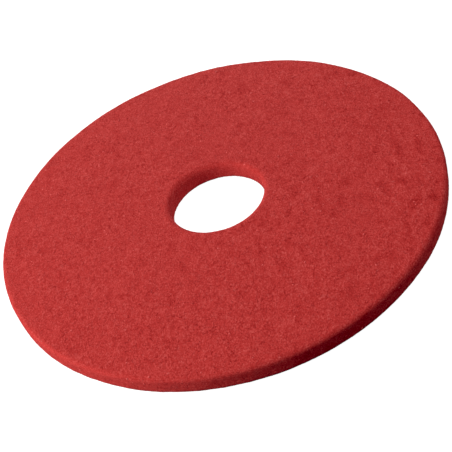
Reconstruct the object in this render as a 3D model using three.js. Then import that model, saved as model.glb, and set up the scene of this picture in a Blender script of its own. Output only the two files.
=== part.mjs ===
// A floor pad for a single-disc rotary floor machine: one flat ring of resin-bonded, non-woven
// fibre, die-cut from a web, with its centre plug already pushed out.
// Millimetres, +Z up. The pad lies on Z = 0 and its own axis is the Z axis.
import * as THREE from 'three';

// Driving dimensions
const padDiameter = 432;
const padThickness = 19;
const holeDiameter = 92;
const outerEdgeRadius = 4; // the web's cut corners are soft, more so around the hole
const holeEdgeRadius = 5;

// Faceting
const stepsAround = 144;
const stepsPerEdge = 5;

// Looks
const fibreColour = 0xb53836;
const fibreRoughness = 0.95;

const quarterTurn = Math.PI / 2;

// A corner radius never takes more than its share of the wall that it rounds.
function cornerRadius(wanted) {
  const largestShareOfWall = 0.45;
  return Math.min(wanted, largestShareOfWall * padThickness);
}

// One rounded corner of the cross-section, as points (distance from the axis, height).
function cornerPoints(centreRadius, centreHeight, edgeRadius, startAngle) {
  const points = [];
  for (let step = 0; step <= stepsPerEdge; step += 1) {
    const angle = startAngle + (quarterTurn * step) / stepsPerEdge;
    points.push(
      new THREE.Vector2(
        centreRadius + edgeRadius * Math.cos(angle),
        centreHeight + edgeRadius * Math.sin(angle),
      ),
    );
  }
  return points;
}

// The closed outline that turns around the Z axis: floor side out to the rim, up the outer
// wall, back over the driver side and down the wall of the hole.
function padSection() {
  const outer = cornerRadius(outerEdgeRadius);
  const hole = cornerRadius(holeEdgeRadius);
  const outerCentre = padDiameter / 2 - outer;
  const holeCentre = holeDiameter / 2 + hole;
  const outline = [
    ...cornerPoints(outerCentre, outer, outer, -quarterTurn),
    ...cornerPoints(outerCentre, padThickness - outer, outer, 0),
    ...cornerPoints(holeCentre, padThickness - hole, hole, quarterTurn),
    ...cornerPoints(holeCentre, hole, hole, 2 * quarterTurn),
  ];
  outline.push(outline[0].clone());
  return outline;
}

function floorPad() {
  const geometry = new THREE.LatheGeometry(padSection(), stepsAround);
  geometry.rotateX(quarterTurn);
  const material = new THREE.MeshStandardMaterial({
    color: fibreColour,
    roughness: fibreRoughness,
    metalness: 0,
  });
  const mesh = new THREE.Mesh(geometry, material);
  mesh.name = 'floor_pad';
  return mesh;
}

const pad = new THREE.Group();
pad.name = 'rotary_floor_machine_pad';
pad.add(floorPad());

export default pad;
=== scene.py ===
"""A floor pad for a rotary floor machine: its looks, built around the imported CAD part."""

import math

import bmesh
import bpy
import numpy as np
from mathutils import Euler, Matrix, Quaternion, Vector
from mathutils.bvhtree import BVHTree


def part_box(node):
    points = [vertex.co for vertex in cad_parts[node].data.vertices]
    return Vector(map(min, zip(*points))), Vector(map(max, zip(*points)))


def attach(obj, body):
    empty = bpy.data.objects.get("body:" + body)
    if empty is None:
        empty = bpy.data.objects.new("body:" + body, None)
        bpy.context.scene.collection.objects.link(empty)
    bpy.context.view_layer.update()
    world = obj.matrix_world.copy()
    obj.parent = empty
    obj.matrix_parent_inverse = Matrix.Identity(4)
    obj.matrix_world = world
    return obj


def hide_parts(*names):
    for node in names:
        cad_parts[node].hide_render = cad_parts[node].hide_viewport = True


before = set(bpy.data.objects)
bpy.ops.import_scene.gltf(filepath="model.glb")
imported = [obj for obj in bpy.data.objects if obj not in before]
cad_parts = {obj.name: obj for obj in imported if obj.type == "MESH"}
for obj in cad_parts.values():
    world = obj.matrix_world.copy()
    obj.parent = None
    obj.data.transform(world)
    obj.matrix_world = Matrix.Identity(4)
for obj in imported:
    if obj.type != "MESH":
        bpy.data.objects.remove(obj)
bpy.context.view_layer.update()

# ---------------------------------------------------------------------------------------
# Camera
# Looks down on the pad from well above the floor, and is turned about its own axis, so that
# the pad leans across the picture.
# ---------------------------------------------------------------------------------------
camera_distance = 0.9682
camera_climb = math.radians(40.79)
camera_roll = math.radians(-19.55)
camera_lens = 80.02
aim = Vector((-0.0007, -0.0244, 0))

camera_spot = camera_distance * Vector((0, -math.cos(camera_climb), math.sin(camera_climb)))
sight = (aim - camera_spot).to_track_quat("-Z", "Y") @ Quaternion((0, 0, 1), camera_roll)
bpy.ops.object.camera_add(location=camera_spot, rotation=sight.to_euler())
camera = bpy.context.object
camera.data.lens = camera_lens
bpy.context.scene.camera = camera

# ---------------------------------------------------------------------------------------
# Web
# The pad itself: one ring, die-cut from a thick web of crimped fibres that is bonded right
# through with red resin. The faces are lumpy where fibres bunch, and the cut edges are soft.
# ---------------------------------------------------------------------------------------
floor_corner, driver_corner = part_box("floor_pad")
pad_radius = (driver_corner.x - floor_corner.x) / 2
pad_thickness = driver_corner.z - floor_corner.z
mid_height = floor_corner.z + pad_thickness / 2
hole_radius = min(v.co.xy.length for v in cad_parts["floor_pad"].data.vertices)

# How far each cut edge is rounded, towards the driver face and towards the floor face.
rim_softness = {"driver": 0.0036, "floor": 0.0040}
hole_softness = {"driver": 0.0048, "floor": 0.0025}
edge_facets = 6
sides_around = 288
web_facet = 0.0012
fibre_coat = 0.0002
rim_press = 0.0005
pressed_band = 0.040

# The web was drawn one way as it was made, and pressed flat, so its lumps and streaks are
# longer that way than across, and thinner still from face to face.
web_lay = math.radians(80)
web_draw = 1.5
web_press = 0.6

# The surface's lumps: how wide they are, and how far they rise and fall.
web_waves = {"loft": (0.060, 0.0005), "bunches": (0.011, 0.0002), "tufts": (0.004, 0.00006)}


def deselect_everything():
    bpy.ops.object.select_all(action="DESELECT")


def pick(piece, kind, wanted):
    """In edit mode, selects the faces or edges that the test wants, and nothing else."""
    bpy.ops.mesh.select_all(action="DESELECT")
    bpy.ops.mesh.select_mode(type="FACE" if kind == "faces" else "EDGE")
    shell = bmesh.from_edit_mesh(piece.data)
    for element in getattr(shell, kind):
        if wanted(element):
            element.select_set(True)
    bmesh.update_edit_mesh(piece.data)


def lies_flat(face):
    least_upright = 0.9
    return abs(face.normal.z) > least_upright


def lies_on_circle(edge, radius, height):
    slack = 0.0005
    return all(
        abs(v.co.xy.length - radius) < slack and abs(v.co.z - height) < slack for v in edge.verts
    )


def apply_modifier(piece, kind, **settings):
    modifier = piece.modifiers.new(kind.lower(), kind)
    for setting, value in settings.items():
        setattr(modifier, setting, value)
    bpy.context.view_layer.objects.active = piece
    bpy.ops.object.modifier_apply(modifier=modifier.name)


def cut_ring():
    """A disc with its centre knocked through and its four cut edges rounded. Its two walls
    stand back by the coat of fibres that will lie on them."""
    rim = pad_radius - fibre_coat
    bore = hole_radius + fibre_coat
    deselect_everything()
    bpy.ops.mesh.primitive_cylinder_add(
        vertices=sides_around,
        radius=rim,
        depth=pad_thickness,
        end_fill_type="NGON",
        location=(0, 0, mid_height),
    )
    ring = bpy.context.object
    bpy.ops.object.transform_apply(location=True, rotation=True, scale=True)
    bpy.ops.object.mode_set(mode="EDIT")
    pick(ring, "faces", lies_flat)
    bpy.ops.mesh.inset(thickness=rim - bore, use_individual=True)
    bpy.ops.mesh.bridge_edge_loops()
    face_height = {"driver": driver_corner.z, "floor": floor_corner.z}
    for radius, softness in ((rim, rim_softness), (bore, hole_softness)):
        for face, height in face_height.items():
            pick(ring, "edges", lambda edge: lies_on_circle(edge, radius, height))
            bpy.ops.mesh.bevel(offset=softness[face], segments=edge_facets, affect="EDGES")
    bpy.ops.object.mode_set(mode="OBJECT")
    return ring


def column(items, name, kind=float, width=1):
    """One property of every vertex, face or corner, as an array."""
    found = np.empty(len(items) * width, kind)
    items.foreach_get(name, found)
    return found.reshape(-1, width) if width > 1 else found


def face_of_each_corner(mesh):
    corners_per_face = column(mesh.polygons, "loop_total", int)
    return np.repeat(np.arange(len(corners_per_face)), corners_per_face)


def along_section(out, up):
    """How far round the pad's section a spot lies, from 0 to 1. It starts halfway up the wall
    of the hole and runs down it, over the floor face, up the rim and back over the top."""
    near_rim = out > (pad_radius + hole_radius) / 2
    over_floor_face = out - hole_radius + np.where(near_rim, pad_thickness + up, -up)
    over_driver_face = pad_radius - out + np.where(near_rim, up, pad_thickness - up)
    half_way = pad_radius - hole_radius + pad_thickness
    return np.where(up < 0, over_floor_face, half_way + over_driver_face) / (2 * half_way)


def turn_and_climb(spots):
    turn = np.arctan2(spots[:, 1], spots[:, 0]) / math.pi
    return turn, along_section(np.hypot(spots[:, 0], spots[:, 1]), spots[:, 2] - mid_height)


def map_ring(ring):
    """Lays the ring's surface out in two bands, one for each half turn."""
    margin = 0.01
    mesh = ring.data
    corners = column(mesh.loops, "vertex_index", int)
    faces = face_of_each_corner(mesh)
    turn, climb = turn_and_climb(column(mesh.vertices, "co", width=3)[corners])
    face_turn, face_climb = turn_and_climb(column(mesh.polygons, "center", width=3)[faces])
    turn = face_turn + (turn - face_turn + 1) % 2 - 1
    climb = face_climb + (climb - face_climb + 0.5) % 1 - 0.5
    band = face_turn > 0
    across = margin + (1 - 2 * margin) * (turn + 1 - band)
    up = (margin + (1 - 2 * margin) * climb + band) / 2
    layer = mesh.uv_layers.new(name="OFBake")
    layer.uv.foreach_set("vector", np.stack([across, up], 1).astype(np.float32).ravel())


def press_rim(piece):
    """Lowers the driver face a little towards the rim, where the die squeezed the web."""
    spots = column(piece.data.vertices, "co", width=3)
    inwards = pad_radius - np.hypot(spots[:, 0], spots[:, 1])
    pressed = np.clip(1 - inwards / pressed_band, 0, 1) ** 2
    height = np.clip((spots[:, 2] - floor_corner.z) / pad_thickness, 0, 1)
    spots[:, 2] -= rim_press * pressed * height
    piece.data.vertices.foreach_set("co", spots.ravel())
    piece.data.update()


def raise_lumps(piece):
    """Swells and sinks the skin in clouds, each drawn out along the web's lay."""
    bpy.ops.object.empty_add(rotation=(0, 0, web_lay))
    lay_axes = bpy.context.object
    lay_axes.scale = (web_draw, 1, 1)
    bpy.context.view_layer.update()
    for wave, (width, height) in web_waves.items():
        clouds = bpy.data.textures.new(wave, "CLOUDS")
        clouds.noise_scale = width
        clouds.noise_depth = 1
        apply_modifier(
            piece,
            "DISPLACE",
            texture=clouds,
            texture_coords="OBJECT",
            texture_coords_object=lay_axes,
            strength=2 * height,
        )
    bpy.data.objects.remove(lay_axes)


pad = cut_ring()
pad.name = pad.data.name = "pad_web"
apply_modifier(pad, "REMESH", mode="VOXEL", voxel_size=web_facet)
map_ring(pad)
press_rim(pad)
raise_lumps(pad)
pad.select_set(True)
bpy.ops.object.shade_smooth()


class Value:
    """A shader socket that takes part in sums: each operator adds its Math node."""

    def __init__(self, recipe, socket):
        self.recipe = recipe
        self.socket = socket

    def __add__(self, other):
        return self.recipe.maths("ADD", self, other)

    def __radd__(self, other):
        return self.recipe.maths("ADD", other, self)

    def __sub__(self, other):
        return self.recipe.maths("SUBTRACT", self, other)

    def __rsub__(self, other):
        return self.recipe.maths("SUBTRACT", other, self)

    def __mul__(self, other):
        return self.recipe.maths("MULTIPLY", self, other)

    def __rmul__(self, other):
        return self.recipe.maths("MULTIPLY", other, self)


class Recipe:
    """A material on its way: its nodes are added from the pattern towards the shader."""

    def __init__(self, name):
        self.material = bpy.data.materials.new(name)
        self.material.use_nodes = True
        self.tree = self.material.node_tree
        self.shader = self.tree.nodes["Principled BSDF"]

    def feed(self, socket, value):
        if isinstance(value, Value):
            self.tree.links.new(value.socket, socket)
        else:
            socket.default_value = value

    def node(self, kind, settings=None, inputs=None, output=0):
        node = self.tree.nodes.new("ShaderNode" + kind)
        for setting, value in (settings or {}).items():
            if setting == "stops":
                lay_stops(node.color_ramp, value)
            else:
                setattr(node, setting, value)
        for socket, value in (inputs or {}).items():
            self.feed(node.inputs[socket], value)
        return Value(self, node.outputs[output])

    def maths(self, operation, one, other):
        return self.node("Math", {"operation": operation}, {0: one, 1: other})

    def finish(self, inputs):
        for socket, value in inputs.items():
            self.feed(self.shader.inputs[socket], value)
        return self.material


def lay_stops(ramp, stops):
    """Stops are pairs of a place and a colour. A ramp starts with two."""
    for place, _ in stops[2:]:
        ramp.elements.new(place)
    for element, (place, colour) in zip(ramp.elements, stops):
        element.position = place
        element.color = (*colour, 1)


# The resin's reds, from the shade between bunched fibres to a fibre's bare crown. A shade of
# 0 is the first of them, and a shade of 1 the last.
deep_red = (0.290, 0.012, 0.008)
resin_red = (0.545, 0.047, 0.039)
pale_red = (0.760, 0.142, 0.125)
web_reds = [(0.0, deep_red), (0.5, resin_red), (1.0, pale_red)]
mean_shade = 0.475

# The web's marks, by how wide they are and how far they shift its shade. Pits are the darkest
# parts of the patches, where the web is thin. Regions say how strong both are from place to
# place, down to the least region that shows any, and side_slope adds to them towards +X.
mark_width = {"regions": 0.15, "patches": 0.010, "bunches": 0.0038, "grain": 0.0012}
mark_depth = {"regions": 0.7, "patches": 0.5, "pits": 1.9, "bunches": 0.28, "grain": 1.6}
pit_edge = -0.06
side_slope = 0.10
least_region = 0.12
strand_width = 0.0008
strand_bump = 0.0004


def noise(recipe, place, width, detail=2, roughness=0.5, distortion=0.0):
    """Noise from 0 to 1 whose patches are about this wide, in metres."""
    inputs = {
        "Vector": place,
        "Scale": 1 / width,
        "Detail": detail,
        "Roughness": roughness,
        "Distortion": distortion,
    }
    return recipe.node("TexNoise", inputs=inputs)


def along_lay(recipe, place):
    """A place as the web's own pattern sees it, drawn out along the lay and pressed flat."""
    inputs = {"Vector": place, "Rotation": (0, 0, web_lay), "Scale": (web_draw, 1, web_press)}
    return recipe.node("Mapping", {"vector_type": "TEXTURE"}, inputs)


def web_shade(recipe, place):
    """How light the web is at a place, from 0 to 1: patches and pits that come and go over the
    pad, under the mottle of bunched fibres and the fine grain of single ones."""
    drawn = along_lay(recipe, place)
    sideways = recipe.node("SeparateXYZ", inputs={"Vector": place}, output="X")
    regions = mark_depth["regions"] * noise(recipe, place, mark_width["regions"], detail=1)
    strong = regions + sideways * (side_slope / pad_radius) - least_region
    patches = noise(recipe, drawn, mark_width["patches"]) - 0.5
    pits = recipe.maths("MAXIMUM", pit_edge - patches, 0)
    clouds = (mark_depth["patches"] * patches - mark_depth["pits"] * pits) * strong
    bunches = noise(recipe, drawn, mark_width["bunches"]) - 0.5
    grain = noise(recipe, drawn, mark_width["grain"], detail=3, roughness=0.7) - 0.5
    return mean_shade + clouds + mark_depth["bunches"] * bunches + mark_depth["grain"] * grain


def web_finish():
    recipe = Recipe("nonwoven_web")
    place = recipe.node("TexCoord", output="Object")
    shade = web_shade(recipe, place)
    colour = recipe.node("ValToRGB", {"stops": web_reds}, {"Fac": shade})
    strands = noise(recipe, along_lay(recipe, place), strand_width, detail=3, distortion=1.5)
    bump = {"Strength": 0.25, "Distance": strand_bump, "Height": strands}
    return recipe.finish({
        "Base Color": colour,
        "Roughness": 0.75 + strands * 0.3,
        "Normal": recipe.node("Bump", inputs=bump),
        "Specular IOR Level": 0.1,
    })


pad.data.materials.append(web_finish())
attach(pad, "root")
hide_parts("floor_pad")

# ---------------------------------------------------------------------------------------
# Surface fibres
# The web's outermost fibres: fine crimped threads about 14 mm long that lie every way in its
# skin, where the resin holds them to each other, sunk in it here and proud of it there.
# ---------------------------------------------------------------------------------------
fibre_width = 0.00022
fibre_step = 0.0012
points_in_fibre = 13
fibre_sides = 3
fibre_total = 17000
sectors = 8
crimp = 0.5

# The share of its width that a fibre keeps at its ends, and how far its own tone shifts the
# web's shade: up by as much as the swing, less the drop.
end_width = 0.45
tone_swing = 0.30
tone_drop = 0.10

# A fibre rises and sinks in a wave: the wave's height and how deep its middle lies, both as
# shares of the fibre's width, and how many radians it turns from one point to the next.
wave_height = 0.35
wave_depth = 0.1
wave_pace = (0.6, 1.6)
rng = np.random.default_rng(17)


def skin_spots(piece, count):
    """The middles of faces drawn at random, by area, each with its face's normal."""
    faces = piece.data.polygons
    area = column(faces, "area")
    drawn = rng.choice(len(area), size=count, p=area / area.sum())
    centres = column(faces, "center", width=3)[drawn]
    return centres, column(faces, "normal", width=3)[drawn]


def lay_fibre(skin, spot, normal, heading, bends, rises):
    """One fibre's path, walked over the skin in short steps that turn as it crimps."""
    path = []
    for bend, rise in zip(bends, rises):
        heading = (heading - normal * heading.dot(normal)).normalized()
        heading.rotate(Quaternion(normal, bend))
        path.append(spot + normal * rise)
        spot, normal, _, _ = skin.find_nearest(spot + heading * fibre_step)
    return path


def fibre_section():
    """The three-sided outline that is drawn along each path."""
    deselect_everything()
    bpy.ops.mesh.primitive_circle_add(vertices=fibre_sides, radius=fibre_width / 2)
    bpy.ops.object.convert(target="CURVE")
    return bpy.context.object


def thread(paths, name):
    """One mesh of closed threads, one along each path, thinner at their ends."""
    section = fibre_section()
    curve = bpy.data.curves.new(name, "CURVE")
    curve.dimensions = "3D"
    curve.bevel_mode = "OBJECT"
    curve.bevel_object = section
    curve.use_fill_caps = True
    taper = [end_width] + [1.0] * (points_in_fibre - 2) + [end_width]
    for path in paths:
        spline = curve.splines.new("POLY")
        spline.points.add(points_in_fibre - 1)
        spline.points.foreach_set("co", [n for point in path for n in (*point, 1)])
        spline.points.foreach_set("radius", taper)
    piece = bpy.data.objects.new(name, curve)
    bpy.context.collection.objects.link(piece)
    deselect_everything()
    piece.select_set(True)
    bpy.context.view_layer.objects.active = piece
    bpy.ops.object.convert(target="MESH")
    bpy.data.objects.remove(section)
    return bpy.context.object


def map_cells(piece, copies, across, up):
    """Gives each of a piece's alike copies a square cell of its own on the map. Across and up
    say where in its cell each corner lies."""
    margin = 0.12
    cells = math.ceil(math.sqrt(copies))
    copy = np.arange(len(piece.data.loops)) * copies // len(piece.data.loops)
    u = (copy % cells + margin + (1 - 2 * margin) * across) / cells
    v = (copy // cells + margin + (1 - 2 * margin) * up) / cells
    while piece.data.uv_layers:
        piece.data.uv_layers.remove(piece.data.uv_layers[0])
    layer = piece.data.uv_layers.new(name="OFBake")
    layer.uv.foreach_set("vector", np.stack([u, v], 1).astype(np.float32).ravel())


def map_threads(threads, copies):
    """A thread's length runs across its cell, and its way round runs up it. The faces that
    close the way round have no corner on side 1, and their side 0 is the end of it."""
    corners = column(threads.data.loops, "vertex_index", int)
    per_thread = len(threads.data.vertices) // copies
    ring, side = np.divmod(corners % per_thread, fibre_sides)
    face = face_of_each_corner(threads.data)
    closes = np.bincount(face, side == 1)[face] == 0
    side = np.where(closes & (side == 0), fibre_sides, side)
    map_cells(threads, copies, ring / (points_in_fibre - 1), side / fibre_sides)


def give_tones(piece, copies):
    """Gives each of a piece's alike copies one random tone of its own, from 0 to 1."""
    tone = piece.data.attributes.new("tone", "FLOAT", "POINT")
    per_copy = len(piece.data.vertices) // copies
    tone.data.foreach_set("value", np.repeat(rng.random(copies), per_copy).astype(np.float32))


def fibre_finish():
    recipe = Recipe("surface_fibre")
    place = recipe.node("TexCoord", output="Object")
    tone = recipe.node("Attribute", {"attribute_name": "tone"}, output="Fac")
    shade = web_shade(recipe, place) + tone_swing * tone - tone_drop
    colour = recipe.node("ValToRGB", {"stops": web_reds}, {"Fac": shade})
    return recipe.finish({"Base Color": colour, "Roughness": 0.7, "Specular IOR Level": 0.15})


skin = BVHTree.FromObject(pad, bpy.context.evaluated_depsgraph_get())
spots, normals = skin_spots(pad, fibre_total)
headings = rng.normal(size=(fibre_total, 3)) * (web_draw, 1, web_press)
headings = headings @ np.array(Matrix.Rotation(-web_lay, 3, "Z"))
bends = rng.normal(0, crimp, (fibre_total, points_in_fibre))
start = rng.uniform(0, 2 * math.pi, (fibre_total, 1))
pace = rng.uniform(*wave_pace, (fibre_total, 1))
wave = np.sin(start + pace * np.arange(points_in_fibre))
rises = fibre_width * (wave_height * wave - wave_depth)
rises[:, (0, -1)] = -fibre_width
sector = (np.arctan2(spots[:, 1], spots[:, 0]) / (2 * math.pi) % 1 * sectors).astype(int)
paths = [
    lay_fibre(skin, Vector(spot), Vector(normal), Vector(heading), *shape)
    for spot, normal, heading, *shape in zip(spots, normals, headings, bends, rises)
]
fibre_material = fibre_finish()
for number in range(sectors):
    laid = [paths[i] for i in np.flatnonzero(sector == number)]
    fibres = thread(laid, f"fibres_{number + 1}")
    map_threads(fibres, len(laid))
    give_tones(fibres, len(laid))
    fibres.data.materials.append(fibre_material)
    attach(fibres, "root")

# ---------------------------------------------------------------------------------------
# Resin beads
# Where the binder pooled at a crossing of fibres it set as a small smooth bead, paler than
# the web. A few hundred are scattered over the skin, half sunk in it.
# ---------------------------------------------------------------------------------------
bead_total = 360
bead_radius = (0.0004, 0.0008)
bead_shape = (1.25, 0.85, 0.6)
bead_mottle = 0.0012
bead_red = (0.74, 0.12, 0.11)


def one_bead():
    """A small ball, pressed flat and drawn out a little one way."""
    deselect_everything()
    bpy.ops.mesh.primitive_ico_sphere_add(subdivisions=2, radius=1)
    bead = bpy.context.object
    bpy.ops.object.mode_set(mode="EDIT")
    bpy.ops.mesh.select_all(action="SELECT")
    bpy.ops.transform.resize(value=bead_shape)
    bpy.ops.object.mode_set(mode="OBJECT")
    bpy.ops.object.shade_smooth()
    return bead


def scatter(model, name, places):
    """Copies of a model, one at each place, joined as one piece."""
    deselect_everything()
    for place in places:
        copy = model.copy()
        copy.data = model.data.copy()
        bpy.context.collection.objects.link(copy)
        copy.matrix_world = place
        copy.select_set(True)
    bpy.data.objects.remove(model)
    bpy.context.view_layer.objects.active = copy
    bpy.ops.object.join()
    bpy.ops.object.transform_apply(location=True, rotation=True, scale=True)
    copy.name = copy.data.name = name
    return copy


def bead_places():
    """Where each bead lies on the web, turned flat against it and of a random size."""
    places = []
    for spot, normal in zip(*skin_spots(pad, bead_total)):
        upright = Vector(normal).to_track_quat("Z", "Y").to_matrix().to_4x4()
        spin = Matrix.Rotation(rng.uniform(0, 2 * math.pi), 4, "Z")
        size = Matrix.Scale(rng.uniform(*bead_radius), 4)
        places.append(Matrix.Translation(spot) @ upright @ spin @ size)
    return places


def bead_finish():
    recipe = Recipe("set_resin")
    place = recipe.node("TexCoord", output="Object")
    bead_reds = [(0.2, pale_red), (0.7, bead_red)]
    mottle = noise(recipe, place, bead_mottle)
    colour = recipe.node("ValToRGB", {"stops": bead_reds}, {"Fac": mottle})
    return recipe.finish({"Base Color": colour, "Roughness": 0.5, "Specular IOR Level": 0.1})


beads = scatter(one_bead(), "resin_beads", bead_places())
bead_layout = column(beads.data.uv_layers[0].uv, "vector", width=2)
map_cells(beads, bead_total, bead_layout[:, 0], bead_layout[:, 1])
beads.data.materials.append(bead_finish())
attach(beads, "root")

# ---------------------------------------------------------------------------------------
# Studio
# A pale floor that runs out of sight under a pale sky. Two soft lights stand on the left, a
# fill on the right and another behind. The floor throws no light back on the pad.
# ---------------------------------------------------------------------------------------
lights = {
    "key_low": ((189, 8), 22.0),
    "key_high": ((206, 42), 14.5),
    "fill": ((352, 30), 9.0),
    "back": ((90, 20), 17.0),
}
light_distance = 1.6
light_size = 1.0
sky_strength = 0.07
floor_width = 30
floor_grey = (0.35, 0.35, 0.35)
floor_glow = 0.95
card_share = 0.98
card_lift = 0.0002
card_glow = 0.38
dark_tones = (0.0125, 0.0098, 0.0057)

for name, ((way, climb), watts) in lights.items():
    turn = Euler((math.radians(90 - climb), 0, math.radians(way + 90)))
    spot = turn.to_matrix() @ Vector((0, 0, light_distance))
    bpy.ops.object.light_add(type="AREA", rotation=turn, location=spot)
    light = bpy.context.object
    light.name = name
    light.data.shape = "DISK"
    light.data.size = light_size
    light.data.energy = watts

world = bpy.data.worlds.new("pale_studio")
bpy.context.scene.world = world
world.use_nodes = True
sky = world.node_tree.nodes["Background"]
seen = world.node_tree.nodes.new("ShaderNodeLightPath")
level = world.node_tree.nodes.new("ShaderNodeMapRange")
level.inputs["To Min"].default_value = sky_strength
level.inputs["To Max"].default_value = 1.0
world.node_tree.links.new(seen.outputs["Is Camera Ray"], level.inputs["Value"])
world.node_tree.links.new(level.outputs["Result"], sky.inputs["Strength"])
sky.inputs["Color"].default_value = (1, 1, 1, 1)

deselect_everything()
lowest = min((pad.matrix_world @ v.co).z for v in pad.data.vertices)
bpy.ops.mesh.primitive_plane_add(size=floor_width, location=(0, 0, lowest))
floor = bpy.context.object
floor.name = "pale_floor"
floor_recipe = Recipe("pale_floor")
floor.data.materials.append(floor_recipe.finish({
    "Base Color": (*floor_grey, 1),
    "Roughness": 0.9,
    "Specular IOR Level": 0.1,
    "Emission Color": (1, 1, 1, 1),
    "Emission Strength": floor_glow,
}))
floor.visible_diffuse = False
floor.visible_glossy = False

# The hole's wall alone gets light from below: a dim card lies in the hole, unseen.
deselect_everything()
bpy.ops.mesh.primitive_circle_add(
    vertices=64,
    radius=card_share * hole_radius,
    fill_type="NGON",
    location=(0, 0, lowest + card_lift),
)
card = bpy.context.object
card.name = "hole_card"
card_recipe = Recipe("hole_card")
card.data.materials.append(card_recipe.finish({
    "Base Color": (0, 0, 0, 1),
    "Specular IOR Level": 0.0,
    "Emission Color": (1, 1, 1, 1),
    "Emission Strength": card_glow,
}))
card.visible_camera = False
card.visible_glossy = False
card.visible_shadow = False

# Dark tones are held down a little, as a studio print holds them.
film = bpy.context.scene.view_settings
film.view_transform = "Standard"
film.use_curve_mapping = True
film.curve_mapping.black_level = dark_tones
film.curve_mapping.update()
